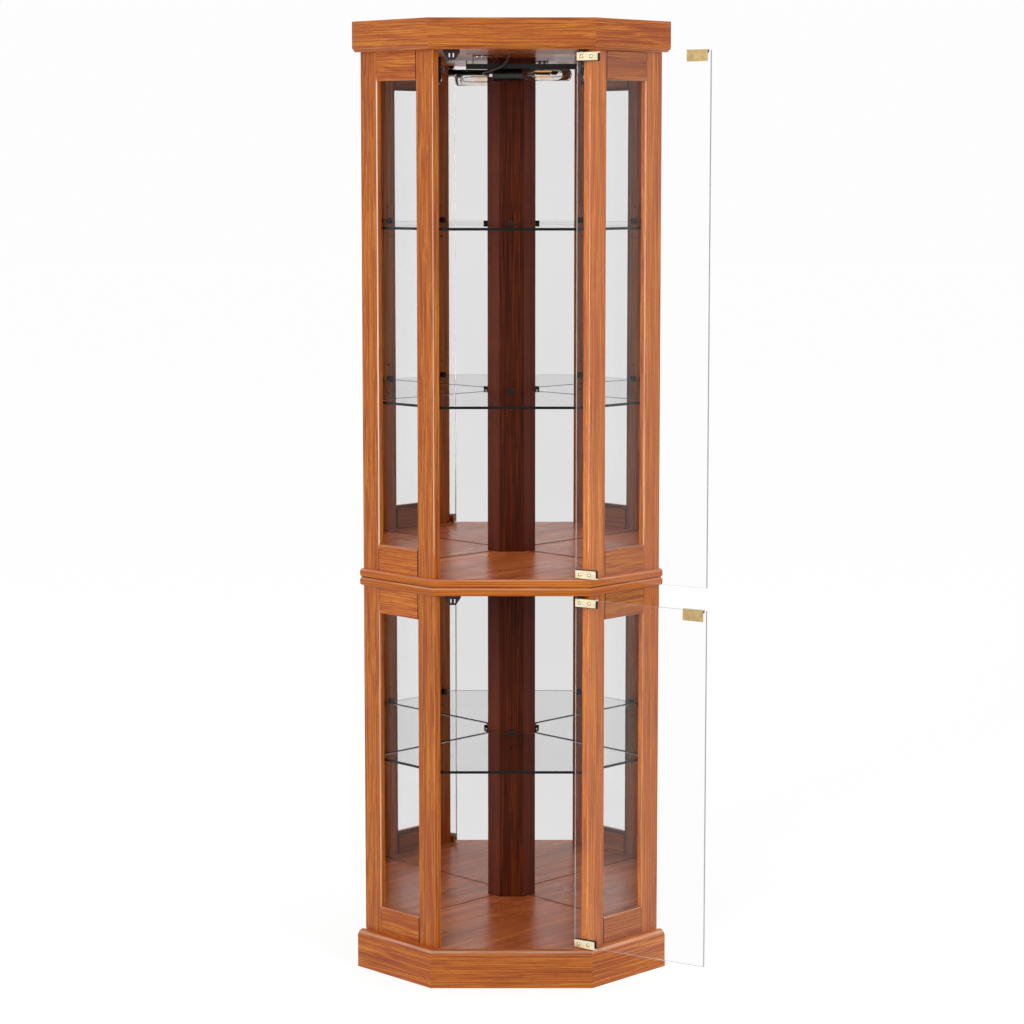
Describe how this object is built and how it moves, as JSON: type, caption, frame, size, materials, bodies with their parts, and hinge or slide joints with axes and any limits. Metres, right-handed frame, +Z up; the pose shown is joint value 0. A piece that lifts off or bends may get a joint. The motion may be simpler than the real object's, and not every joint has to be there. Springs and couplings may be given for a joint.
{
  "type": "corner curio cabinet",
  "caption": "Tall corner display cabinet in wood-grain board with mirrored back walls, angled glazed sides, glass shelves, a lamp under the top and stacked frameless glass doors.",
  "frame": {"origin": "back corner at floor level, where the two wall faces meet", "axes": "+Z up, +Y into the room corner, -Y to the front, +X to the viewer's right"},
  "size_m": [0.6498, 0.5558, 1.8],
  "materials": {
    "cabinet_wood": "satin wood-grain laminate",
    "post_wood": "satin dark red-brown laminate",
    "hardboard": "plain hardboard",
    "clear_glass": "polished, green at the edges",
    "mirror": "silvered glass",
    "brass": "bright brass plate",
    "black_plastic": "matt",
    "catch_plastic": "matt brown",
    "black_metal": "black enamel",
    "holder_plastic": "black phenolic",
    "bulb_glass": "clear",
    "lead_rubber": "matt black"
  },
  "bodies": {
    "cabinet": {"base_board": "cabinet_wood", "bottom_shelf": "clear_glass", "cap_fascia_front": "cabinet_wood", "cap_fascia_left": "cabinet_wood", "cap_fascia_right": "cabinet_wood", "cap_top_board": "cabinet_wood", "ceiling_board": "cabinet_wood", "door_catches": "catch_plastic", "hinge_bottom_bushings": "black_plastic", "hinge_top_bushings": "black_plastic", "lamp_bracket": "black_metal", "lamp_bulb": "bulb_glass", "lamp_holder": "holder_plastic", "lamp_lead": "lead_rubber", "lower_corner_post": "post_wood", "lower_left_back_panel": "hardboard", "lower_left_bottom_rail": "cabinet_wood", "lower_left_front_stile": "cabinet_wood", "lower_left_mirror": "mirror", "lower_left_rear_stile": "cabinet_wood", "lower_left_side_glass": "clear_glass", "lower_left_top_rail": "cabinet_wood", "lower_right_back_panel": "hardboard", "lower_right_bottom_rail": "cabinet_wood", "lower_right_front_stile": "cabinet_wood", "lower_right_mirror": "mirror", "lower_right_rear_stile": "cabinet_wood", "lower_right_side_glass": "clear_glass", "lower_right_top_rail": "cabinet_wood", "lower_top_board": "cabinet_wood", "middle_shelf": "clear_glass", "plinth_front": "cabinet_wood", "plinth_left": "cabinet_wood", "plinth_right": "cabinet_wood", "shelf_clips": "black_plastic", "top_shelf": "clear_glass", "upper_corner_post": "post_wood", "upper_floor_board": "cabinet_wood", "upper_left_back_panel": "hardboard", "upper_left_bottom_rail": "cabinet_wood", "upper_left_front_stile": "cabinet_wood", "upper_left_mirror": "mirror", "upper_left_rear_stile": "cabinet_wood", "upper_left_side_glass": "clear_glass", "upper_left_top_rail": "cabinet_wood", "upper_right_back_panel": "hardboard", "upper_right_bottom_rail": "cabinet_wood", "upper_right_front_stile": "cabinet_wood", "upper_right_mirror": "mirror", "upper_right_rear_stile": "cabinet_wood", "upper_right_side_glass": "clear_glass", "upper_right_top_rail": "cabinet_wood"},
    "upper_door": {"upper_door_bottom_clamp": "brass", "upper_door_pane": "clear_glass", "upper_door_strike_plate": "brass", "upper_door_top_clamp": "brass"},
    "lower_door": {"lower_door_bottom_clamp": "brass", "lower_door_pane": "clear_glass", "lower_door_strike_plate": "brass", "lower_door_top_clamp": "brass"}
  },
  "joints": [
    {"name": "upper_door_hinge", "type": "hinge", "parent": "cabinet", "child": "upper_door", "pos_m": [0.1274, -0.4185, 1.257], "axis": [0, 0, 1], "range_deg": [-149, 0]},
    {"name": "lower_door_hinge", "type": "hinge", "parent": "cabinet", "child": "lower_door", "pos_m": [0.1274, -0.4185, 0.405], "axis": [0, 0, 1], "range_deg": [-149, 0]}
  ]
}
